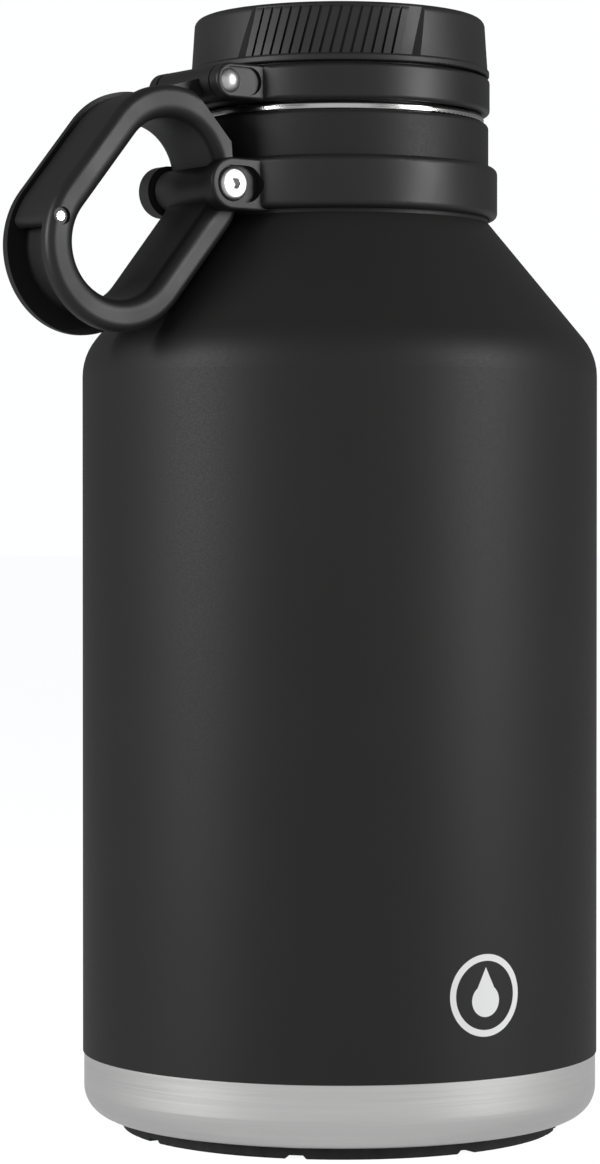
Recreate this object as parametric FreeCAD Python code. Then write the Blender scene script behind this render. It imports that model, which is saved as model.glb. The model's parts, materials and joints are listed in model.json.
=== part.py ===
"""Vacuum-insulated growler with a screw lid, a folding carry handle and an arm that ties the lid to it.

Millimetres. The origin is the centre of the foot's underside, on the bottle's axis, and +Z is up.
The handle stands out towards -X. "Reach" is the distance from the bottle's axis towards -X.
Hinge, pin and rivet axes run along Y.
"""
import FreeCAD, Part
import math
import os

Vector = FreeCAD.Vector
ORIGIN = Vector(0, 0, 0)
UP = Vector(0, 0, 1)
ALONG_Y = Vector(0, 1, 0)

# Bottle: outside
BODY_R = 61.0
BAND_R = 60.7
BAND_TOP = 18.1
BAND_CORNER_R = 7.0
SHOULDER_Z = 182.5
SHOULDER_ROUND = 14.0
SHOULDER_SEAM_Z = 186.4
NECK_R = 35.3
CONE_SLOPE = 32.1 / 26.4
CONE_TOP_Z = SHOULDER_Z + (BODY_R - NECK_R) * CONE_SLOPE
NECK_TOP = 237.2
NECK_ROUND = 1.2
STEEL = 0.8

# Foot
FOOT_R = 51.6
FOOT_HEIGHT = 3.0
FOOT_ROUND = 0.5
NOTCHES = 8
NOTCH_TURN = -3.0
NOTCH_WIDTH = 5.2
NOTCH_HEIGHT = 0.9
NOTCH_LENGTH = 12.0

# Bottle: inside
VACUUM_GAP = 2.6
LINER_R = BODY_R - STEEL - VACUUM_GAP
LINER_STEEL = 0.6
LINER_FLOOR_Z = 9.4
LINER_SEAM_Z = 20.0
LINER_SHOULDER_SEAM_Z = 182.8
LINER_NECK_SEAM_Z = 211.5
LINER_CORNER_R = 9.0
MOUTH_R = 27.5
MOUTH_TUBE_R = MOUTH_R + LINER_STEEL
MOUTH_TOP = 254.6
GETTER_R = 10.0
GETTER_THICK = 1.0
PORT_R = 2.5
PORT_HEAD_R = 4.5
PORT_HEAD = 0.8

# Mouth ring and thread
RING_TUBE_R = 29.4
BEAD_R = 34.2
BEAD_TOP = 239.1
RING_FOOT_Z = 233.5
THREAD_LEAD = 4.0
THREAD_TURNS = 2.0
THREAD_START_Z = 243.0
MALE_CREST_R = 30.5
RIDGE_ROOT = 1.6
RIDGE_CREST = 0.9
RIDGE_EMBED = 0.3

# Carry collar
COLLAR_R = 37.4
COLLAR_BOTTOM = 214.6
COLLAR_TOP = 226.8
COLLAR_ROUND = 1.6
COLLAR_EAR_IN = 10.9
COLLAR_EAR_OUT = 15.2
COLLAR_EAR_R = 6.0
COLLAR_EAR_TIP = 0.6
POCKET_IN = 3.0
POCKET_OUT = 0.8
EAR_ROUND = 0.7

# Handle hinge: reach and height of its axis
HINGE_REACH = 40.9
HINGE_Z = 220.0
BARREL_R = 4.9
BARREL_CLEARANCE = 0.4
HINGE_TUBE_R = 2.9
SCREW_SHANK_R = 2.0
SCREW_HEAD_R = 3.95
SCREW_HEAD_TOP = 15.0
SCREW_HEAD_BASE = 13.4
SCREW_HEAD_ROUND = 1.2
SCREW_SOCKET = 2.5
SCREW_SOCKET_DEPTH = 1.3
SCREW_TIP = 5.0
COUNTERBORE_R = 4.2
RUNNING_FIT = 0.05

# Handle loop: a stadium whose long axis leans towards the bottle at the top
LOOP_REACH = 61.5
LOOP_Z = 213.8
LOOP_LEAN = math.radians(39.3)
LOOP_HALF = 11.0
LOOP_HOLE_R = 12.3
LOOP_WEB_R = 14.8
LOOP_R = 19.7
HANDLE_HALF = 10.4
FLANGE = 3.3
CHANNEL_HALF = HANDLE_HALF - FLANGE
RIM_ROUND = 2.0
HOLE_ROUND = 3.0

# Lid arm and its two pivots
ARM_IN_R = 15.2
ARM_OUT_R = 18.8
ARM_R = (ARM_IN_R + ARM_OUT_R) / 2
ARM_THICK = ARM_OUT_R - ARM_IN_R
ARM_HALF = CHANNEL_HALF - 0.4
PIN_BELOW = 6.0
PIN_R = 1.05
PIN_HALF = 9.7
PIN_COUNTERBORE_R = 2.0
RIVET_REACH = 41.3
RIVET_Z = 243.6
RIVET_HUB_R = 4.0
RIVET_R = 1.6
RIVET_HEAD_R = 2.83
RIVET_HEAD = 1.3
RIVET_SLACK = 0.6

# Lid ring
LID_RING_R = 35.6
LID_RING_IN = 33.2
LID_RING_BOTTOM = 239.5
LID_RING_TOP = 247.8
LID_RING_ROUND = 1.0
LIP_R = 32.3
LIP_BOTTOM = 241.8
LIP_TOP = 243.8
LID_EAR_IN = 10.9
LID_EAR_OUT = 14.2
LID_EAR_R = 4.05
LID_POCKET_R = 3.2
LID_POCKET_IN = 5.0
LID_POCKET_FLOOR = 13.4

# Lid cap and what is in it
CAP_BOTTOM = 248.3
CAP_TOP = 262.0
CAP_RIM_R = 35.5
CAP_RIM = 1.3
CAP_SIDE_R = 35.1
CAP_SHOULDER_R = 34.3
CAP_ROUND = 2.0
CAP_ROOF = 2.4
CAP_DISH_R = 29.5
CAP_DISH = 0.6
SKIRT_R = 32.8
SKIRT_IN = 31.0
SKIRT_BOTTOM = 240.2
FEMALE_CREST_R = 30.0
GROOVE_R = 31.7
GROOVE_SPARE = 0.6
CEILING_BOTTOM = 256.4
CEILING_TOP = 258.2
PLUG_R = 26.9
PLUG_WALL = 1.6
PLUG_BOTTOM = 245.0
DISC_THICK = 0.6
GASKET_IN = 27.3
GASKET_OUT = 30.4
GASKET_THICK = 1.4
GRIP_TURNS = (228.0, 48.0)
GRIP_HALF_ANGLE = 34.0
RAMP_HALF_ANGLE = 43.0
GRIP_FLOOR_R = 34.0
GRIP_OUT_R = 38.0
GRIP_BOTTOM = 250.0
RIBS = 16
RIB_PITCH_ANGLE = 3.9
RIB_WIDTH = 1.7
RIB_SLANT = -14.0


def polar(radius, degrees, z=0.0):
    angle = math.radians(degrees)
    return Vector(radius * math.cos(angle), radius * math.sin(angle), z)


def rounded_wire(corners):
    """A closed wire through (point, radius) corners, each corner rounded with a tangent arc."""
    starts, ends, arcs = [], [], []
    count = len(corners)
    for index, (point, radius) in enumerate(corners):
        before = (corners[index - 1][0] - point).normalize()
        after = (corners[(index + 1) % count][0] - point).normalize()
        if radius == 0:
            starts.append(point)
            ends.append(point)
            arcs.append(None)
            continue
        half = before.getAngle(after) / 2
        middle = (before + after).normalize()
        centre = point + middle * (radius / math.sin(half))
        starts.append(point + before * (radius / math.tan(half)))
        ends.append(point + after * (radius / math.tan(half)))
        arcs.append(Part.Arc(starts[-1], centre - middle * radius, ends[-1]).toShape())
    edges = []
    for index in range(count):
        if arcs[index]:
            edges.append(arcs[index])
        start, end = ends[index], starts[(index + 1) % count]
        if start.distanceToPoint(end) > 1e-6:
            edges.append(Part.LineSegment(start, end).toShape())
    return Part.Wire(edges)


def turned(corners):
    """A solid of revolution about the bottle's axis from (radius, z) or (radius, z, round) corners."""
    points = [(Vector(corner[0], 0, corner[1]), corner[2] if len(corner) > 2 else 0) for corner in corners]
    return Part.Face(rounded_wire(points)).revolve(ORIGIN, UP, 360)


def side_point(reach, z, y=0.0):
    return Vector(-reach, y, z)


def slab(wire, y_from, y_to):
    """A flat wire in the XZ plane made into a plate between two places along Y."""
    face = Part.Face(wire)
    face.translate(ALONG_Y * y_from)
    return face.extrude(ALONG_Y * (y_to - y_from))


def rod(radius, reach, z, y_from, y_to):
    return Part.makeCylinder(radius, y_to - y_from, side_point(reach, z, y_from), ALONG_Y)


def both_sides(shape):
    """The shape and its mirror image in the handle's middle plane."""
    return [shape, shape.mirror(ORIGIN, ALONG_Y)]


def fuse(shapes):
    return shapes[0].multiFuse(shapes[1:]).removeSplitter()


def cut(shape, *tools):
    return shape.cut(list(tools))


def loop_centre(along):
    """Reach and height of a point on the loop's long axis, counted downwards from its middle."""
    return (LOOP_REACH + math.sin(LOOP_LEAN) * along, LOOP_Z - math.cos(LOOP_LEAN) * along)


def loop_point(along, across):
    """A point in the loop's own directions: down its long axis, and across it away from the bottle."""
    reach, z = loop_centre(along)
    return side_point(reach + math.cos(LOOP_LEAN) * across, z + math.sin(LOOP_LEAN) * across)


def loop_wire(radius):
    ends = ((LOOP_HALF, 1), (-LOOP_HALF, -1))
    edges = []
    for along, side in ends:
        start = loop_point(along, radius * side)
        tip = loop_point(along + radius * side, 0)
        end = loop_point(along, -radius * side)
        edges.append(Part.Arc(start, tip, end).toShape())
        edges.append(Part.LineSegment(end, loop_point(-along, -radius * side)).toShape())
    return Part.Wire(edges)


def pin_centre():
    across = math.sqrt(ARM_R ** 2 - PIN_BELOW ** 2)
    point = loop_point(LOOP_HALF + PIN_BELOW, across)
    return -point.x, point.z


def thread_ridge(root_r, crest_r, z_start, embed):
    """One helical ridge, from a root radius to a crest radius, sunk into its wall by embed."""
    corners = [Vector(root_r + embed, 0, -RIDGE_ROOT / 2),
               Vector(crest_r, 0, -RIDGE_CREST / 2),
               Vector(crest_r, 0, RIDGE_CREST / 2),
               Vector(root_r + embed, 0, RIDGE_ROOT / 2)]
    profile = Part.makePolygon(corners + corners[:1])
    helix = Part.Wire(Part.makeHelix(THREAD_LEAD, THREAD_LEAD * THREAD_TURNS, root_r))
    ridge = helix.makePipeShell([profile], True, True)
    ridge.translate(UP * z_start)
    return ridge


def between(shape, low, high):
    """The stretch of a turned shape between two heights."""
    return shape.common(Part.makeCylinder(BODY_R + 1, high - low, UP * low))


def outer_wall():
    inside_cone = STEEL / math.cos(math.atan(CONE_SLOPE))
    return turned([
        (BODY_R, BAND_TOP),
        (BODY_R, SHOULDER_Z, SHOULDER_ROUND),
        (NECK_R, CONE_TOP_Z),
        (NECK_R, NECK_TOP, NECK_ROUND),
        (NECK_R - 2 * STEEL, NECK_TOP),
        (NECK_R - 2 * STEEL, NECK_TOP - STEEL),
        (NECK_R - STEEL, NECK_TOP - 2 * STEEL),
        (NECK_R - STEEL, CONE_TOP_Z - inside_cone + STEEL * CONE_SLOPE),
        (BODY_R - STEEL, SHOULDER_Z - inside_cone + STEEL * CONE_SLOPE, SHOULDER_ROUND - STEEL),
        (BODY_R - STEEL, BAND_TOP),
    ])


def make_outer_shell():
    return between(outer_wall(), BAND_TOP, SHOULDER_SEAM_Z)


def make_outer_shoulder():
    return between(outer_wall(), SHOULDER_SEAM_Z, CONE_TOP_Z)


def make_outer_neck():
    return between(outer_wall(), CONE_TOP_Z, NECK_TOP)


def make_base_band():
    cup = turned([
        (0, FOOT_HEIGHT),
        (BAND_R, FOOT_HEIGHT, BAND_CORNER_R),
        (BAND_R, BAND_TOP),
        (BAND_R - STEEL, BAND_TOP),
        (BAND_R - STEEL, FOOT_HEIGHT + STEEL, BAND_CORNER_R - STEEL),
        (0, FOOT_HEIGHT + STEEL),
    ])
    return cut(cup, Part.makeCylinder(PORT_R, 2 * FOOT_HEIGHT, Vector(0, 0, FOOT_HEIGHT - STEEL)))


def make_vacuum_seal():
    head = Part.makeCylinder(PORT_HEAD_R, PORT_HEAD, Vector(0, 0, FOOT_HEIGHT - PORT_HEAD))
    plug = Part.makeCylinder(PORT_R, STEEL, Vector(0, 0, FOOT_HEIGHT))
    return fuse([head, plug])


def make_foot_pad():
    pad = turned([
        (0, 0),
        (FOOT_R, 0, FOOT_ROUND),
        (FOOT_R, FOOT_HEIGHT),
        (PORT_HEAD_R, FOOT_HEIGHT),
        (PORT_HEAD_R, FOOT_HEIGHT - PORT_HEAD),
        (0, FOOT_HEIGHT - PORT_HEAD),
    ])
    narrow = NOTCH_WIDTH - 2 * NOTCH_HEIGHT
    outline = Part.makePolygon([
        Vector(0, -NOTCH_WIDTH / 2, -NOTCH_HEIGHT / 10),
        Vector(0, NOTCH_WIDTH / 2, -NOTCH_HEIGHT / 10),
        Vector(0, narrow / 2, NOTCH_HEIGHT),
        Vector(0, -narrow / 2, NOTCH_HEIGHT),
        Vector(0, -NOTCH_WIDTH / 2, -NOTCH_HEIGHT / 10),
    ])
    notch = Part.Face(outline).extrude(Vector(NOTCH_LENGTH, 0, 0))
    notch.translate(Vector(FOOT_R - NOTCH_LENGTH + 1, 0, 0))
    notches = []
    for index in range(NOTCHES):
        one = notch.copy()
        one.rotate(ORIGIN, UP, NOTCH_TURN + index * 360 / NOTCHES)
        notches.append(one)
    return cut(pad, *notches)


def inner_wall():
    slope_drop = (LINER_R - MOUTH_TUBE_R) * CONE_SLOPE
    shoulder = SHOULDER_Z - VACUUM_GAP * 1.4
    wall = LINER_STEEL
    return turned([
        (LINER_R, LINER_SEAM_Z),
        (LINER_R, shoulder, SHOULDER_ROUND),
        (MOUTH_TUBE_R, shoulder + slope_drop, 3.0),
        (MOUTH_TUBE_R, MOUTH_TOP),
        (MOUTH_R, MOUTH_TOP),
        (MOUTH_R, shoulder + slope_drop - wall / 2, 3.0 + wall),
        (LINER_R - wall, shoulder - wall / 2, SHOULDER_ROUND - wall),
        (LINER_R - wall, LINER_SEAM_Z),
    ])


def make_inner_vessel():
    return between(inner_wall(), LINER_SEAM_Z, LINER_SHOULDER_SEAM_Z)


def make_inner_shoulder():
    return between(inner_wall(), LINER_SHOULDER_SEAM_Z, LINER_NECK_SEAM_Z)


def make_inner_neck():
    return between(inner_wall(), LINER_NECK_SEAM_Z, MOUTH_TOP)


def make_inner_bottom():
    wall = LINER_STEEL
    return turned([
        (0, LINER_FLOOR_Z),
        (LINER_R, LINER_FLOOR_Z, LINER_CORNER_R),
        (LINER_R, LINER_SEAM_Z),
        (LINER_R - wall, LINER_SEAM_Z),
        (LINER_R - wall, LINER_FLOOR_Z + wall, LINER_CORNER_R - wall),
        (0, LINER_FLOOR_Z + wall),
    ])


def make_getter():
    return Part.makeCylinder(GETTER_R, GETTER_THICK, Vector(0, 0, LINER_FLOOR_Z - GETTER_THICK))


def make_mouth_ring():
    shell_lip = NECK_R - 2 * STEEL
    ring = turned([
        (MOUTH_TUBE_R, RING_FOOT_Z),
        (RING_TUBE_R, RING_FOOT_Z),
        (shell_lip, NECK_TOP - STEEL),
        (shell_lip, NECK_TOP),
        (BEAD_R, NECK_TOP, 0.5),
        (BEAD_R, BEAD_TOP, 0.8),
        (RING_TUBE_R, BEAD_TOP, 0.6),
        (RING_TUBE_R, MOUTH_TOP, 0.5),
        (MOUTH_TUBE_R, MOUTH_TOP),
    ])
    return fuse([ring, thread_ridge(RING_TUBE_R, MALE_CREST_R, THREAD_START_Z, -RIDGE_EMBED)])


def make_carry_collar():
    ring = turned([
        (NECK_R, COLLAR_BOTTOM, 0.4),
        (COLLAR_R, COLLAR_BOTTOM, COLLAR_ROUND),
        (COLLAR_R, COLLAR_TOP, COLLAR_ROUND),
        (NECK_R, COLLAR_TOP, 0.4),
    ])
    tip = HINGE_REACH + COLLAR_EAR_TIP
    ears = both_sides(ear(tip, HINGE_Z, COLLAR_EAR_R, COLLAR_EAR_IN, COLLAR_EAR_OUT))
    neck = Part.makeCylinder(NECK_R, COLLAR_TOP, ORIGIN)
    relief = rod(BARREL_R + BARREL_CLEARANCE, HINGE_REACH, HINGE_Z, -COLLAR_EAR_IN, COLLAR_EAR_IN)
    shank = rod(SCREW_SHANK_R, HINGE_REACH, HINGE_Z, -COLLAR_EAR_OUT, COLLAR_EAR_OUT)
    pockets = both_sides(screw_pocket())
    return cut(fuse([ring] + ears), neck, relief, shank, *pockets)


def slot_wire(reach_in, reach_out, z, radius):
    """A level slot's outline, between the centres of its two round ends."""
    low_in, low_out = side_point(reach_in, z - radius), side_point(reach_out, z - radius)
    high_in, high_out = side_point(reach_in, z + radius), side_point(reach_out, z + radius)
    return Part.Wire([
        Part.LineSegment(low_in, low_out).toShape(),
        Part.Arc(low_out, side_point(reach_out + radius, z), high_out).toShape(),
        Part.LineSegment(high_out, high_in).toShape(),
        Part.Arc(high_in, side_point(reach_in - radius, z), low_in).toShape(),
    ])


def screw_pocket():
    """The oval pocket that the screw head sits in, open through the ring's round side."""
    outline = slot_wire(HINGE_REACH - POCKET_IN, HINGE_REACH + POCKET_OUT, HINGE_Z, COUNTERBORE_R)
    return slab(outline, SCREW_HEAD_BASE, COLLAR_R)


def rivet_pocket():
    outline = slot_wire(RIVET_REACH - LID_POCKET_IN, RIVET_REACH, RIVET_Z, LID_POCKET_R)
    return slab(outline, LID_POCKET_FLOOR, LID_RING_R)


def ear(reach, z, radius, y_in, y_out):
    """A flat lug with a round end, from inside the ring out to a pivot."""
    lug = slab(slot_wire(reach - 2 * radius, reach, z, radius), y_in, y_out)
    outer_edges = [edge for edge in lug.Edges if abs(edge.BoundBox.YMin - y_out) < 1e-6]
    return lug.makeFillet(EAR_ROUND, outer_edges)


def make_hinge_screws():
    head = rod(SCREW_HEAD_R, HINGE_REACH, HINGE_Z, SCREW_HEAD_BASE, SCREW_HEAD_TOP)
    rim = [edge for edge in head.Edges if abs(edge.BoundBox.YMin - SCREW_HEAD_TOP) < 1e-6]
    head = head.makeFillet(SCREW_HEAD_ROUND, rim)
    shank = rod(SCREW_SHANK_R, HINGE_REACH, HINGE_Z, SCREW_TIP, SCREW_HEAD_BASE)
    corner_r = SCREW_SOCKET / math.sqrt(3)
    corners = []
    for index in range(7):
        angle = math.radians(60 * index)
        corners.append(side_point(HINGE_REACH + corner_r * math.cos(angle), HINGE_Z + corner_r * math.sin(angle)))
    socket = slab(Part.makePolygon(corners), SCREW_HEAD_TOP - SCREW_SOCKET_DEPTH, SCREW_HEAD_TOP + 1)
    return Part.makeCompound(both_sides(cut(fuse([head, shank]), socket)))


def make_hinge_tube():
    tube = rod(HINGE_TUBE_R, HINGE_REACH, HINGE_Z, -COLLAR_EAR_IN, COLLAR_EAR_IN)
    return cut(tube, rod(SCREW_SHANK_R, HINGE_REACH, HINGE_Z, -COLLAR_EAR_IN, COLLAR_EAR_IN))


def bottle_side_trim():
    """The space beside the neck that the handle leaves free while it lifts."""
    corners = [(20, 200), (COLLAR_R + 0.5, 200), (COLLAR_R + 0.5, HINGE_Z), (COLLAR_R + 1.4, 230),
               (COLLAR_R + 9.0, 238.3), (COLLAR_R + 17.0, 247), (20, 247)]
    points = [side_point(reach, z) for reach, z in corners]
    return slab(Part.makePolygon(points + points[:1]), -HANDLE_HALF - 1, HANDLE_HALF + 1)


def make_handle():
    loop = slab(loop_wire(LOOP_R), -HANDLE_HALF, HANDLE_HALF)
    loop = loop.makeFillet(RIM_ROUND, end_edges(loop, HANDLE_HALF))
    hole = slab(loop_wire(LOOP_HOLE_R), -HANDLE_HALF, HANDLE_HALF)
    loop = cut(loop, hole)
    hole_edges = [edge for edge in end_edges(loop, HANDLE_HALF) if is_near_hole(edge)]
    loop = loop.makeFillet(HOLE_ROUND, hole_edges)
    channel = cut(slab(loop_wire(LOOP_R + 1), -CHANNEL_HALF, CHANNEL_HALF),
                  slab(loop_wire(LOOP_WEB_R), -CHANNEL_HALF, CHANNEL_HALF))
    loop = cut(loop, channel, bottle_side_trim())
    barrel = rod(BARREL_R, HINGE_REACH, HINGE_Z, -HANDLE_HALF, HANDLE_HALF)
    bore = rod(HINGE_TUBE_R + RUNNING_FIT, HINGE_REACH, HINGE_Z, -HANDLE_HALF - 1, HANDLE_HALF + 1)
    pin_reach, pin_z = pin_centre()
    pin_hole = rod(PIN_R, pin_reach, pin_z, -HANDLE_HALF, HANDLE_HALF)
    pockets = both_sides(rod(PIN_COUNTERBORE_R, pin_reach, pin_z, PIN_HALF, HANDLE_HALF + 1))
    return cut(fuse([loop, barrel]), bore, pin_hole, *pockets)


def end_edges(shape, half):
    """The edges that lie in the two flat end faces of a plate."""
    found = []
    for edge in shape.Edges:
        box = edge.BoundBox
        if box.YLength < 1e-6 and abs(abs(box.YMin) - half) < 1e-6:
            found.append(edge)
    return found


def is_near_hole(edge):
    """True for an edge of the finger hole, which is closer to the long axis than the web's outside."""
    point = edge.valueAt((edge.FirstParameter + edge.LastParameter) / 2)
    top, bottom = loop_point(-LOOP_HALF, 0), loop_point(LOOP_HALF, 0)
    axis = Part.LineSegment(top, bottom).toShape()
    point.y = 0
    return axis.distToShape(Part.Vertex(point))[0] < LOOP_WEB_R


def make_handle_pin():
    reach, z = pin_centre()
    return rod(PIN_R, reach, z, -PIN_HALF, PIN_HALF)


def make_lid_arm():
    """The arm follows the handle's channel from the pin round the top, then runs straight to the rivet."""
    top_reach, top_z = loop_centre(-LOOP_HALF)
    pin_reach, pin_z = pin_centre()
    to_rivet = math.atan2(RIVET_Z - top_z, RIVET_REACH - top_reach)
    rivet_distance = math.hypot(RIVET_Z - top_z, RIVET_REACH - top_reach)
    leave = to_rivet - math.acos(ARM_R / rivet_distance)
    first = LOOP_LEAN

    def on_arc(angle, radius):
        return side_point(top_reach + radius * math.cos(angle), top_z + radius * math.sin(angle))

    away = Vector(-math.cos(leave), 0, math.sin(leave))
    rivet = side_point(RIVET_REACH, RIVET_Z)
    half = ARM_THICK / 2
    middle = (first + leave) / 2
    straight_end = loop_point(LOOP_HALF, 0)
    outer_end = straight_end + (on_arc(first, ARM_OUT_R) - side_point(top_reach, top_z))
    inner_end = straight_end + (on_arc(first, ARM_IN_R) - side_point(top_reach, top_z))
    pin_angle = math.asin(PIN_BELOW / ARM_R)
    low_reach, low_z = loop_centre(LOOP_HALF)

    def on_low_arc(angle, radius):
        return side_point(low_reach + radius * math.cos(angle), low_z + radius * math.sin(angle))

    last = first - pin_angle
    tip_out = on_low_arc(last, ARM_OUT_R)
    tip_in = on_low_arc(last, ARM_IN_R)
    tip = on_low_arc(last, ARM_R) + tangent_down(last) * half
    band = Part.Wire([
        Part.LineSegment(rivet + away * half, on_arc(leave, ARM_OUT_R)).toShape(),
        Part.Arc(on_arc(leave, ARM_OUT_R), on_arc(middle, ARM_OUT_R), on_arc(first, ARM_OUT_R)).toShape(),
        Part.LineSegment(on_arc(first, ARM_OUT_R), outer_end).toShape(),
        Part.Arc(outer_end, on_low_arc((first + last) / 2, ARM_OUT_R), tip_out).toShape(),
        Part.Arc(tip_out, tip, tip_in).toShape(),
        Part.Arc(tip_in, on_low_arc((first + last) / 2, ARM_IN_R), inner_end).toShape(),
        Part.LineSegment(inner_end, on_arc(first, ARM_IN_R)).toShape(),
        Part.Arc(on_arc(first, ARM_IN_R), on_arc(middle, ARM_IN_R), on_arc(leave, ARM_IN_R)).toShape(),
        Part.LineSegment(on_arc(leave, ARM_IN_R), rivet - away * half).toShape(),
        Part.LineSegment(rivet - away * half, rivet + away * half).toShape(),
    ])
    strap = slab(band, -ARM_HALF, ARM_HALF)
    hub = rod(RIVET_HUB_R, RIVET_REACH, RIVET_Z, -HANDLE_HALF, HANDLE_HALF)
    arm = fuse([strap, hub])
    pin_hole = rod(PIN_R + RUNNING_FIT, pin_reach, pin_z, -ARM_HALF, ARM_HALF)
    rivet_hole = rod(RIVET_R + RIVET_SLACK, RIVET_REACH, RIVET_Z, -HANDLE_HALF, HANDLE_HALF)
    return cut(arm, pin_hole, rivet_hole)


def tangent_down(angle):
    """The direction along the loop towards its lower end, at an angle on its lower arc."""
    return Vector(-math.sin(angle), 0, -math.cos(angle))


def make_lid_ring():
    ring = turned([
        (LID_RING_IN, LID_RING_BOTTOM),
        (LID_RING_R, LID_RING_BOTTOM, LID_RING_ROUND),
        (LID_RING_R, LID_RING_TOP, LID_RING_ROUND),
        (LID_RING_IN, LID_RING_TOP),
        (LID_RING_IN, LIP_TOP),
        (LIP_R, LIP_TOP),
        (LIP_R, LIP_BOTTOM),
        (LID_RING_IN, LIP_BOTTOM),
    ])
    ears = both_sides(ear(RIVET_REACH, RIVET_Z, LID_EAR_R, LID_EAR_IN, LID_EAR_OUT))
    inside = Part.makeCylinder(LID_RING_IN, LID_RING_TOP, ORIGIN)
    ears = [cut(one, inside) for one in ears]
    hole = rod(RIVET_R, RIVET_REACH, RIVET_Z, -LID_EAR_OUT, LID_EAR_OUT)
    return cut(fuse([ring] + ears), hole, *both_sides(rivet_pocket()))


def make_lid_rivet():
    shank = rod(RIVET_R, RIVET_REACH, RIVET_Z, -LID_POCKET_FLOOR, LID_POCKET_FLOOR)
    ball_r = (RIVET_HEAD_R ** 2 + RIVET_HEAD ** 2) / (2 * RIVET_HEAD)
    ball = Part.makeSphere(ball_r, side_point(RIVET_REACH, RIVET_Z, LID_POCKET_FLOOR + RIVET_HEAD - ball_r))
    beyond = rod(RIVET_HEAD_R + 1, RIVET_REACH, RIVET_Z, LID_POCKET_FLOOR, LID_EAR_OUT + RIVET_HEAD)
    return fuse([shank] + both_sides(ball.common(beyond)))


def cap_outside():
    return turned([
        (0, CAP_BOTTOM),
        (CAP_RIM_R, CAP_BOTTOM, 0.4),
        (CAP_RIM_R, CAP_BOTTOM + CAP_RIM, 0.3),
        (CAP_SIDE_R, CAP_BOTTOM + CAP_RIM + 0.4, 0.3),
        (CAP_SHOULDER_R, CAP_TOP, CAP_ROUND),
        (CAP_DISH_R, CAP_TOP, 0.5),
        (CAP_DISH_R - 2 * CAP_DISH, CAP_TOP - CAP_DISH, 0.5),
        (0, CAP_TOP - CAP_DISH),
    ])


def grip_recess(turn):
    """A shallow panel in the cap's side, with a ramp at each end."""
    height = CAP_TOP + 1 - GRIP_BOTTOM
    shift = math.degrees(height * math.tan(math.radians(-RIB_SLANT)) / GRIP_FLOOR_R)
    low = grip_outline(turn, GRIP_BOTTOM)
    high = grip_outline(turn + shift, GRIP_BOTTOM + height)
    return Part.makeLoft([low, high], True, True)


def grip_outline(turn, low):
    edges = [
        Part.Arc(polar(GRIP_FLOOR_R, turn - GRIP_HALF_ANGLE, low), polar(GRIP_FLOOR_R, turn, low),
                 polar(GRIP_FLOOR_R, turn + GRIP_HALF_ANGLE, low)).toShape(),
        Part.LineSegment(polar(GRIP_FLOOR_R, turn + GRIP_HALF_ANGLE, low),
                         polar(GRIP_OUT_R, turn + RAMP_HALF_ANGLE, low)).toShape(),
        Part.Arc(polar(GRIP_OUT_R, turn + RAMP_HALF_ANGLE, low), polar(GRIP_OUT_R, turn, low),
                 polar(GRIP_OUT_R, turn - RAMP_HALF_ANGLE, low)).toShape(),
        Part.LineSegment(polar(GRIP_OUT_R, turn - RAMP_HALF_ANGLE, low),
                         polar(GRIP_FLOOR_R, turn - GRIP_HALF_ANGLE, low)).toShape(),
    ]
    return Part.Wire(edges)


def grip_ribs(turn):
    ribs = []
    inner = GRIP_FLOOR_R - 0.8
    for index in range(RIBS):
        rib = Part.makeBox(3, RIB_WIDTH, 2 * (CAP_TOP - GRIP_BOTTOM),
                           Vector(inner, -RIB_WIDTH / 2, -(CAP_TOP - GRIP_BOTTOM)))
        rib.rotate(ORIGIN, Vector(1, 0, 0), RIB_SLANT)
        rib.translate(UP * (CAP_TOP + GRIP_BOTTOM) / 2)
        rib.rotate(ORIGIN, UP, turn + (index - (RIBS - 1) / 2) * RIB_PITCH_ANGLE)
        ribs.append(rib)
    return ribs


def make_lid_cap():
    outside = cap_outside()
    recessed = cut(outside, *[grip_recess(turn) for turn in GRIP_TURNS])
    keep = turned([(0, GRIP_BOTTOM), (CAP_RIM_R, GRIP_BOTTOM), (CAP_RIM_R, CAP_TOP - 1.0), (0, CAP_TOP - 1.0)])
    ribs = []
    for turn in GRIP_TURNS:
        ribs += [rib.common(outside.common(keep)) for rib in grip_ribs(turn)]
    room = Part.makeCylinder(SKIRT_R, CAP_TOP - CAP_ROOF - CAP_BOTTOM + 1, Vector(0, 0, CAP_BOTTOM - 1))
    return cut(fuse([recessed] + ribs), room)


def make_cap_liner():
    plug_in = PLUG_R - PLUG_WALL
    liner = turned([
        (SKIRT_IN, SKIRT_BOTTOM),
        (SKIRT_R, SKIRT_BOTTOM),
        (SKIRT_R, LIP_BOTTOM - GROOVE_SPARE),
        (GROOVE_R, LIP_BOTTOM - GROOVE_SPARE),
        (GROOVE_R, LIP_TOP + GROOVE_SPARE),
        (SKIRT_R, LIP_TOP + GROOVE_SPARE),
        (SKIRT_R, CEILING_TOP),
        (plug_in, CEILING_TOP),
        (plug_in, PLUG_BOTTOM + DISC_THICK),
        (plug_in - PLUG_WALL, PLUG_BOTTOM + DISC_THICK),
        (plug_in - PLUG_WALL, PLUG_BOTTOM),
        (PLUG_R, PLUG_BOTTOM, 1.0),
        (PLUG_R, CEILING_BOTTOM),
        (SKIRT_IN, CEILING_BOTTOM),
    ])
    female_start = THREAD_START_Z - THREAD_LEAD / 2
    return fuse([liner, thread_ridge(SKIRT_IN, FEMALE_CREST_R, female_start, RIDGE_EMBED)])


def make_lid_foam():
    radius = PLUG_R - PLUG_WALL
    bottom = PLUG_BOTTOM + DISC_THICK
    return Part.makeCylinder(radius, CAP_TOP - CAP_ROOF - bottom, Vector(0, 0, bottom))


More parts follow.
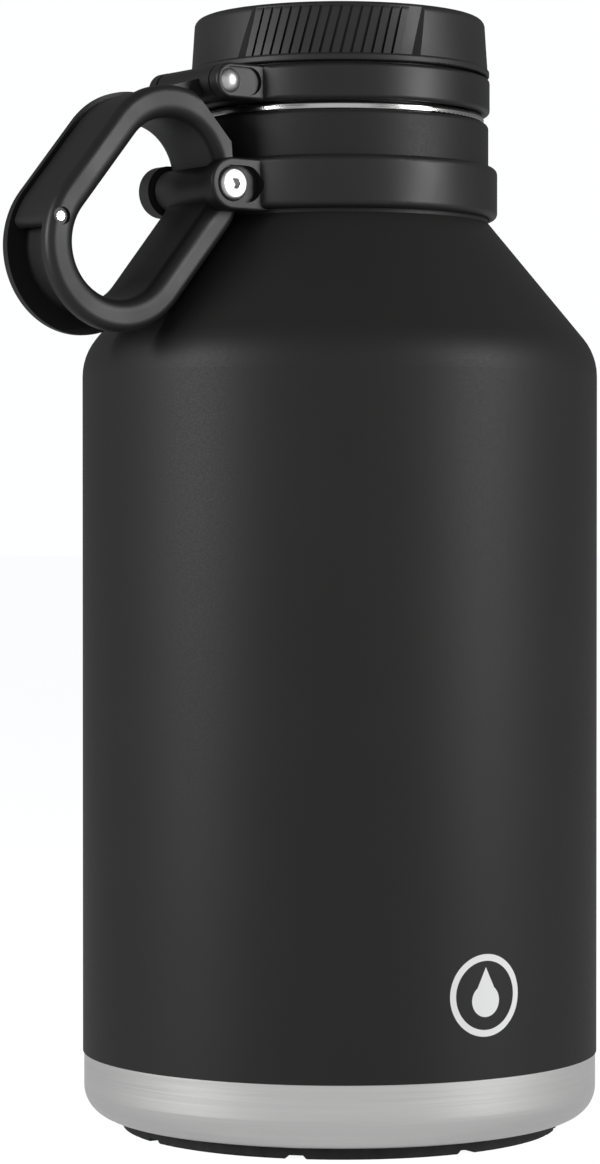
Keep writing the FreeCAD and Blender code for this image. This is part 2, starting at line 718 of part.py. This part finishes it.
def make_lid_disc():
    radius = PLUG_R - 2 * PLUG_WALL
    return Part.makeCylinder(radius, DISC_THICK, Vector(0, 0, PLUG_BOTTOM))


def make_gasket():
    return turned([
        (GASKET_IN, CEILING_BOTTOM - GASKET_THICK, 0.5),
        (GASKET_OUT, CEILING_BOTTOM - GASKET_THICK, 0.5),
        (GASKET_OUT, CEILING_BOTTOM),
        (GASKET_IN, CEILING_BOTTOM),
    ])


NODES = {
    "outer_shell": make_outer_shell,
    "outer_shoulder": make_outer_shoulder,
    "outer_neck": make_outer_neck,
    "base_band": make_base_band,
    "vacuum_seal": make_vacuum_seal,
    "foot_pad": make_foot_pad,
    "inner_vessel": make_inner_vessel,
    "inner_shoulder": make_inner_shoulder,
    "inner_neck": make_inner_neck,
    "inner_bottom": make_inner_bottom,
    "getter": make_getter,
    "mouth_ring": make_mouth_ring,
    "carry_collar": make_carry_collar,
    "hinge_screws": make_hinge_screws,
    "hinge_tube": make_hinge_tube,
    "handle": make_handle,
    "handle_pin": make_handle_pin,
    "lid_arm": make_lid_arm,
    "lid_ring": make_lid_ring,
    "lid_rivet": make_lid_rivet,
    "lid_cap": make_lid_cap,
    "cap_liner": make_cap_liner,
    "lid_foam": make_lid_foam,
    "lid_disc": make_lid_disc,
    "gasket": make_gasket,
}


def main():
    os.makedirs("parts", exist_ok=True)
    for node, make in NODES.items():
        shape = make()
        print(node, "solids", len(shape.Solids), "valid", shape.isValid(), "mm3", round(shape.Volume))
        shape.exportStep("parts/" + node + ".step")
    print("pin", [round(value, 3) for value in pin_centre()])


main()
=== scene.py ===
"""The look of a vacuum-insulated growler: powder coat, brushed steel, moulded black plastic and rubber."""
import json
import math

import bpy
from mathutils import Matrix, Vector


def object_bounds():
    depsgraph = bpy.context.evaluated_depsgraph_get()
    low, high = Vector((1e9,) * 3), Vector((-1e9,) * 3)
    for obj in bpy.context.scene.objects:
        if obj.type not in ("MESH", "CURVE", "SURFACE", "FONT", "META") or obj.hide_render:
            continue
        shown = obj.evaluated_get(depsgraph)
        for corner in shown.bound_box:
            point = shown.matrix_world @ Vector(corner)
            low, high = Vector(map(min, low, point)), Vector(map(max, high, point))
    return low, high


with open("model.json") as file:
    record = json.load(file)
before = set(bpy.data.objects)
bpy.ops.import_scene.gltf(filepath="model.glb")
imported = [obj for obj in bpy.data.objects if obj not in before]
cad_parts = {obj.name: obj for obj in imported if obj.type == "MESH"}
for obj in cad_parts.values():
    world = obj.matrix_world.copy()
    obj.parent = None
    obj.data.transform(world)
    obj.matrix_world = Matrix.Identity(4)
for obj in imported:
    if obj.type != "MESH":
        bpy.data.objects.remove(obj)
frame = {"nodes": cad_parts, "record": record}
cad_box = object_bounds()

# Camera: metres and degrees, on the bottle's axis unless said otherwise
CAMERA_AZIMUTH = 37.0
CAMERA_DISTANCE = 0.856
CAMERA_HEIGHT = 0.1389
AIM_LEFT = 0.0094
AIM_HEIGHT = 0.1289
LENS = 111.3
SENSOR = 36.0

# Light
WORLD_TONE = (0.93, 0.94, 0.95, 1.0)
WORLD_STRENGTH = 0.17
BACKDROP_STRENGTH = 1.07
SIDE_LIGHT_ANGLE = 64.0
SIDE_LIGHT_DISTANCE = 1.0
LIGHT_HEIGHT = 0.42
LIGHT_AIM = 0.2
SIDE_LIGHT_SIZE = (0.3, 0.6)
SIDE_LIGHT_POWER = 7.5
FRONT_LIGHT_DISTANCE = 3.0
FRONT_LIGHT_SIZE = (3.0, 3.0)
FRONT_LIGHT_POWER = 13.0
FLOOR_RADIUS = 30.0
FLOOR_SIDES = 96
FLOOR_TONE = 0.22
FLOOR_GLOW = 1.0
FLOOR_BOUNCE = 0.35

# The printed emblem on the shell: a ring round a drop
EMBLEM_TURN = math.radians(265.5)
EMBLEM_HEIGHT = 0.037
EMBLEM_RADIUS = 0.0085
EMBLEM_LINE = 0.0007
EMBLEM_DROP = 0.0036
EMBLEM_TIP = 0.0062
EMBLEM_SOFT = 0.0001
EMBLEM_TONE = 0.82

# Fine surfaces: metres, and noise cells per metre
MICRON = 1e-6
GROOVE_CELLS = 25
DEEP_GROOVE_CELLS = 8
DEEP_GROOVE_RATIO = 7
SCRATCH_CELLS = (3000, 700, 9000)


class Graph:
    """A material's node tree, with short calls for the nodes that the materials share."""

    def __init__(self, name):
        self.material = bpy.data.materials.new(name)
        self.material.use_nodes = True
        self.nodes = self.material.node_tree.nodes
        self.links = self.material.node_tree.links
        self.shader = self.nodes["Principled BSDF"]
        self.place = self.nodes.new("ShaderNodeTexCoord").outputs["Object"]

    def link(self, source, target):
        self.links.new(source, target)

    def set(self, **values):
        """Sets constant shader values; an underscore in a name stands for a space."""
        for name, value in values.items():
            self.shader.inputs[name.replace("_", " ")].default_value = value

    def math(self, operation, first, second=None):
        node = self.nodes.new("ShaderNodeMath")
        node.operation = operation
        for socket, value in zip(node.inputs, (first, second)):
            if isinstance(value, (int, float)):
                socket.default_value = value
            elif value is not None:
                self.link(value, socket)
        return node.outputs[0]

    def noise(self, scale=1.0, detail=2.0, stretch=(1, 1, 1), roughness=0.5):
        mapping = self.nodes.new("ShaderNodeMapping")
        mapping.inputs["Scale"].default_value = stretch
        self.link(self.place, mapping.inputs["Vector"])
        node = self.nodes.new("ShaderNodeTexNoise")
        node.inputs["Scale"].default_value = scale
        node.inputs["Detail"].default_value = detail
        node.inputs["Roughness"].default_value = roughness
        self.link(mapping.outputs[0], node.inputs["Vector"])
        return node.outputs["Fac"]

    def cells(self, scale, feature="F1"):
        node = self.nodes.new("ShaderNodeTexVoronoi")
        node.feature = feature
        node.inputs["Scale"].default_value = scale
        self.link(self.place, node.inputs["Vector"])
        return node.outputs["Distance"]

    def spread(self, source, low, high, start=0.3, end=0.7):
        """Maps a 0-1 value to the range low-high."""
        node = self.nodes.new("ShaderNodeMapRange")
        for name, value in (("From Min", start), ("From Max", end), ("To Min", low), ("To Max", high)):
            node.inputs[name].default_value = value
        self.link(source, node.inputs["Value"])
        return node.outputs["Result"]

    def mix(self, amount, first, second):
        """Mixes two colours, each a tuple or a socket."""
        node = self.nodes.new("ShaderNodeMix")
        node.data_type = "RGBA"
        self.link(amount, node.inputs["Factor"])
        for name, value in (("A", first), ("B", second)):
            socket = next(s for s in node.inputs if s.name == name and s.type == "RGBA")
            if isinstance(value, tuple):
                socket.default_value = value
            else:
                self.link(value, socket)
        return next(s for s in node.outputs if s.type == "RGBA")

    def bump(self, height, depth, after=None):
        """Raises the surface by depth metres where height is 1."""
        node = self.nodes.new("ShaderNodeBump")
        node.inputs["Strength"].default_value = 1.0
        node.inputs["Distance"].default_value = depth
        self.link(height, node.inputs["Height"])
        if after:
            self.link(after, node.inputs["Normal"])
        return node.outputs["Normal"]

    def finish(self, colour=None, roughness=None, normal=None):
        for source, name in ((colour, "Base Color"), (roughness, "Roughness"), (normal, "Normal")):
            if source is not None:
                self.link(source, self.shader.inputs[name])
        return self.material


def grey(value, warm=0.0):
    return (value * (1 + warm), value, value * (1 - warm), 1.0)


def split(graph):
    """The object's X, Y and Z."""
    node = graph.nodes.new("ShaderNodeSeparateXYZ")
    graph.link(graph.place, node.inputs[0])
    return node.outputs


def length_of(graph, across, up):
    squares = [graph.math("MULTIPLY", value, value) for value in (across, up)]
    return graph.math("SQRT", graph.math("ADD", *squares))


def emblem_mask(graph):
    """1 inside the printed emblem: a thin ring, and in it a drop made of a disc and a pointed top."""
    x, y, z = split(graph)
    turn = graph.math("ARCTAN2", y, x)
    turn = graph.math("SUBTRACT", turn, EMBLEM_TURN - 2 * math.pi)
    radius = (cad_box[1][1] - cad_box[0][1]) / 2
    across = graph.math("MULTIPLY", turn, radius)
    up = graph.math("SUBTRACT", z, EMBLEM_HEIGHT)
    side = graph.math("ABSOLUTE", across)
    ring = graph.math("ABSOLUTE", graph.math("SUBTRACT", length_of(graph, across, up), EMBLEM_RADIUS))
    ring = graph.math("SUBTRACT", ring, EMBLEM_LINE)
    low = graph.math("ADD", up, EMBLEM_DROP / 3)
    disc = graph.math("SUBTRACT", length_of(graph, across, low), EMBLEM_DROP)
    lean = EMBLEM_DROP / (EMBLEM_TIP + EMBLEM_DROP / 3)
    edge = graph.math("ADD", side, graph.math("MULTIPLY", up, lean))
    edge = graph.math("SUBTRACT", edge, EMBLEM_TIP * lean)
    cone = graph.math("MAXIMUM", edge, graph.math("MULTIPLY", low, -1.0))
    shape = graph.math("MINIMUM", ring, graph.math("MINIMUM", disc, cone))
    return graph.spread(shape, low=1.0, high=0.0, start=0.0, end=EMBLEM_SOFT)


def powder_coat():
    """Baked powder paint: an orange peel with a finer grain on it, and the printed emblem."""
    graph = Graph("powder_coat")
    graph.set(IOR=1.45, Specular_IOR_Level=0.34)
    tone = graph.mix(graph.noise(scale=38), grey(0.0115, warm=0.02), grey(0.0145, warm=0.03))
    colour = graph.mix(emblem_mask(graph), tone, grey(EMBLEM_TONE))
    peel = graph.bump(graph.noise(scale=1500), depth=12 * MICRON)
    grain = graph.bump(graph.noise(scale=4200), depth=6 * MICRON, after=peel)
    roughness = graph.spread(graph.noise(scale=2400), low=0.48, high=0.57)
    return graph.finish(colour, roughness, grain)


def brushed_steel(name, tone, rough, lines=9000.0):
    """Spun steel: fine grooves that run round the bottle's axis, with a few deeper ones."""
    graph = Graph(name)
    graph.set(Metallic=1.0, Anisotropic=0.35)
    fine = graph.noise(stretch=(GROOVE_CELLS, GROOVE_CELLS, lines))
    deep = graph.noise(stretch=(DEEP_GROOVE_CELLS, DEEP_GROOVE_CELLS, lines / DEEP_GROOVE_RATIO))
    colour = graph.mix(deep, grey(tone * 0.88, warm=0.01), grey(tone, warm=0.01))
    grooves = graph.bump(deep, depth=8 * MICRON, after=graph.bump(fine, depth=6 * MICRON))
    return graph.finish(colour, graph.spread(fine, low=rough - 0.05, high=rough + 0.08), grooves)


def moulded_plastic(name, tone, rough, texture=12 * MICRON):
    """Black plastic from a spark-eroded mould, slightly polished by hands in places."""
    graph = Graph(name)
    graph.set(IOR=1.5, Specular_IOR_Level=0.4)
    colour = graph.mix(graph.noise(scale=60), grey(tone, warm=0.01), grey(tone * 1.35, warm=0.01))
    worn = graph.noise(scale=45, detail=3)
    wavy = graph.bump(graph.noise(scale=500), depth=10 * MICRON)
    spark = graph.noise(scale=2600, detail=3, roughness=0.6)
    roughness = graph.spread(worn, low=rough - 0.05, high=rough + 0.06)
    return graph.finish(colour, roughness, graph.bump(spark, depth=texture, after=wavy))


def machined_steel(name, tone, rough):
    """Small turned heads, with faint scratches in no one direction."""
    graph = Graph(name)
    graph.set(Metallic=1.0)
    scratch = graph.noise(detail=3, stretch=SCRATCH_CELLS)
    colour = graph.mix(graph.noise(scale=900), grey(tone * 0.9), grey(tone))
    roughness = graph.spread(scratch, low=rough - 0.04, high=rough + 0.1)
    return graph.finish(colour, roughness, graph.bump(scratch, depth=4 * MICRON))


def rubber(name, tone):
    graph = Graph(name)
    graph.set(IOR=1.5, Specular_IOR_Level=0.35)
    colour = graph.mix(graph.noise(scale=140, detail=3), grey(tone), grey(tone * 1.6))
    grain = graph.bump(graph.noise(scale=1600, detail=3), depth=30 * MICRON)
    return graph.finish(colour, graph.spread(graph.noise(scale=400), low=0.62, high=0.8), grain)


def silicone():
    graph = Graph("gasket_silicone")
    graph.set(IOR=1.42, Subsurface_Weight=0.15, Subsurface_Scale=0.002)
    colour = graph.mix(graph.noise(scale=200), grey(0.42), grey(0.5))
    grain = graph.bump(graph.noise(scale=900), depth=10 * MICRON)
    return graph.finish(colour, graph.spread(graph.noise(scale=300), low=0.36, high=0.48), grain)


def foam():
    graph = Graph("lid_foam")
    cell = graph.cells(scale=1400)
    colour = graph.mix(cell, (0.82, 0.77, 0.62, 1.0), (0.7, 0.64, 0.5, 1.0))
    return graph.finish(colour, graph.spread(cell, low=0.8, high=0.95), graph.bump(cell, depth=200 * MICRON))


MATERIALS = {
    "powder_coat": powder_coat(),
    "brushed_steel": brushed_steel("brushed_steel", tone=0.86, rough=0.36),
    "inner_steel": brushed_steel("inner_steel", tone=0.62, rough=0.3, lines=5000.0),
    "mouth_steel": brushed_steel("mouth_steel", tone=0.68, rough=0.2, lines=12000.0),
    "getter_metal": machined_steel("getter_metal", tone=0.5, rough=0.5),
    "screw_steel": machined_steel("screw_steel", tone=0.72, rough=0.36),
    "pin_steel": machined_steel("pin_steel", tone=0.7, rough=0.28),
    "black_plastic": moulded_plastic("black_plastic", tone=0.009, rough=0.44),
    "cap_plastic": moulded_plastic("cap_plastic", tone=0.012, rough=0.5, texture=20 * MICRON),
    "liner_plastic": moulded_plastic("liner_plastic", tone=0.025, rough=0.4),
    "foot_rubber": rubber("foot_rubber", tone=0.012),
    "port_seal": rubber("port_seal", tone=0.03),
    "gasket_silicone": silicone(),
    "lid_foam": foam(),
}


def dress_nodes():
    """Gives every CAD node the material of its slot."""
    slots = {part["node"]: part["material_slot"] for part in frame["record"]["subparts"]}
    for name, node in frame["nodes"].items():
        node.data.materials.clear()
        node.data.materials.append(MATERIALS[slots[name]])


def around(azimuth, distance, height):
    """A point seen from the bottle's axis at a camera azimuth: 0 is straight in front, on the -Y side."""
    angle = math.radians(azimuth)
    return Vector((-math.sin(angle) * distance, -math.cos(angle) * distance, height))


def aim(thing, target):
    thing.rotation_euler = (target - thing.location).to_track_quat("-Z", "Y").to_euler()


def add_camera():
    data = bpy.data.cameras.new("camera")
    data.lens = LENS
    data.sensor_width = SENSOR
    camera = bpy.data.objects.new("camera", data)
    camera.location = around(CAMERA_AZIMUTH, CAMERA_DISTANCE, CAMERA_HEIGHT)
    aim(camera, around(CAMERA_AZIMUTH + 90, AIM_LEFT, AIM_HEIGHT))
    bpy.context.scene.collection.objects.link(camera)
    bpy.context.scene.camera = camera


def add_softbox(name, azimuth, distance, power, size):
    data = bpy.data.lights.new(name, "AREA")
    data.shape = "RECTANGLE"
    data.size, data.size_y = size
    data.energy = power
    light = bpy.data.objects.new(name, data)
    light.location = around(azimuth, distance, LIGHT_HEIGHT)
    aim(light, Vector((0, 0, LIGHT_AIM)))
    bpy.context.scene.collection.objects.link(light)


def add_studio():
    """Softboxes, and a world that looks bright to the camera and lights the bottle more dimly."""
    world = bpy.data.worlds.new("studio")
    world.use_nodes = True
    background = world.node_tree.nodes["Background"]
    background.inputs["Color"].default_value = WORLD_TONE
    background.inputs["Strength"].default_value = WORLD_STRENGTH
    backdrop = world.node_tree.nodes.new("ShaderNodeBackground")
    backdrop.inputs["Color"].default_value = WORLD_TONE
    backdrop.inputs["Strength"].default_value = BACKDROP_STRENGTH
    chooser = world.node_tree.nodes.new("ShaderNodeMixShader")
    seen = world.node_tree.nodes.new("ShaderNodeLightPath")
    links = world.node_tree.links
    links.new(seen.outputs["Is Camera Ray"], chooser.inputs["Fac"])
    links.new(background.outputs[0], chooser.inputs[1])
    links.new(backdrop.outputs[0], chooser.inputs[2])
    links.new(chooser.outputs[0], world.node_tree.nodes["World Output"].inputs["Surface"])
    bpy.context.scene.world = world
    bpy.context.scene.view_settings.view_transform = "Standard"
    for name, turn in (("left_softbox", SIDE_LIGHT_ANGLE), ("right_softbox", -SIDE_LIGHT_ANGLE)):
        add_softbox(name, CAMERA_AZIMUTH + turn, SIDE_LIGHT_DISTANCE, SIDE_LIGHT_POWER, SIDE_LIGHT_SIZE)
    add_softbox("front_softbox", CAMERA_AZIMUTH, FRONT_LIGHT_DISTANCE, FRONT_LIGHT_POWER, FRONT_LIGHT_SIZE)


def add_floor():
    """A wide disc that looks white to the camera and throws less light on the bottle."""
    mesh = bpy.data.meshes.new("floor")
    corners = [around(index * 360 / FLOOR_SIDES, FLOOR_RADIUS, 0) for index in range(FLOOR_SIDES)]
    mesh.from_pydata(corners, [], [tuple(reversed(range(FLOOR_SIDES)))])
    floor = bpy.data.objects.new("floor", mesh)
    bpy.context.scene.collection.objects.link(floor)
    graph = Graph("floor")
    graph.set(Base_Color=grey(FLOOR_TONE), Roughness=1.0, Specular_IOR_Level=0.0)
    graph.set(Emission_Color=WORLD_TONE)
    seen = graph.nodes.new("ShaderNodeLightPath").outputs["Is Camera Ray"]
    glow = graph.spread(seen, low=FLOOR_BOUNCE, high=FLOOR_GLOW, start=0, end=1)
    graph.link(glow, graph.shader.inputs["Emission Strength"])
    mesh.materials.append(graph.material)


dress_nodes()
add_camera()
add_studio()
add_floor()
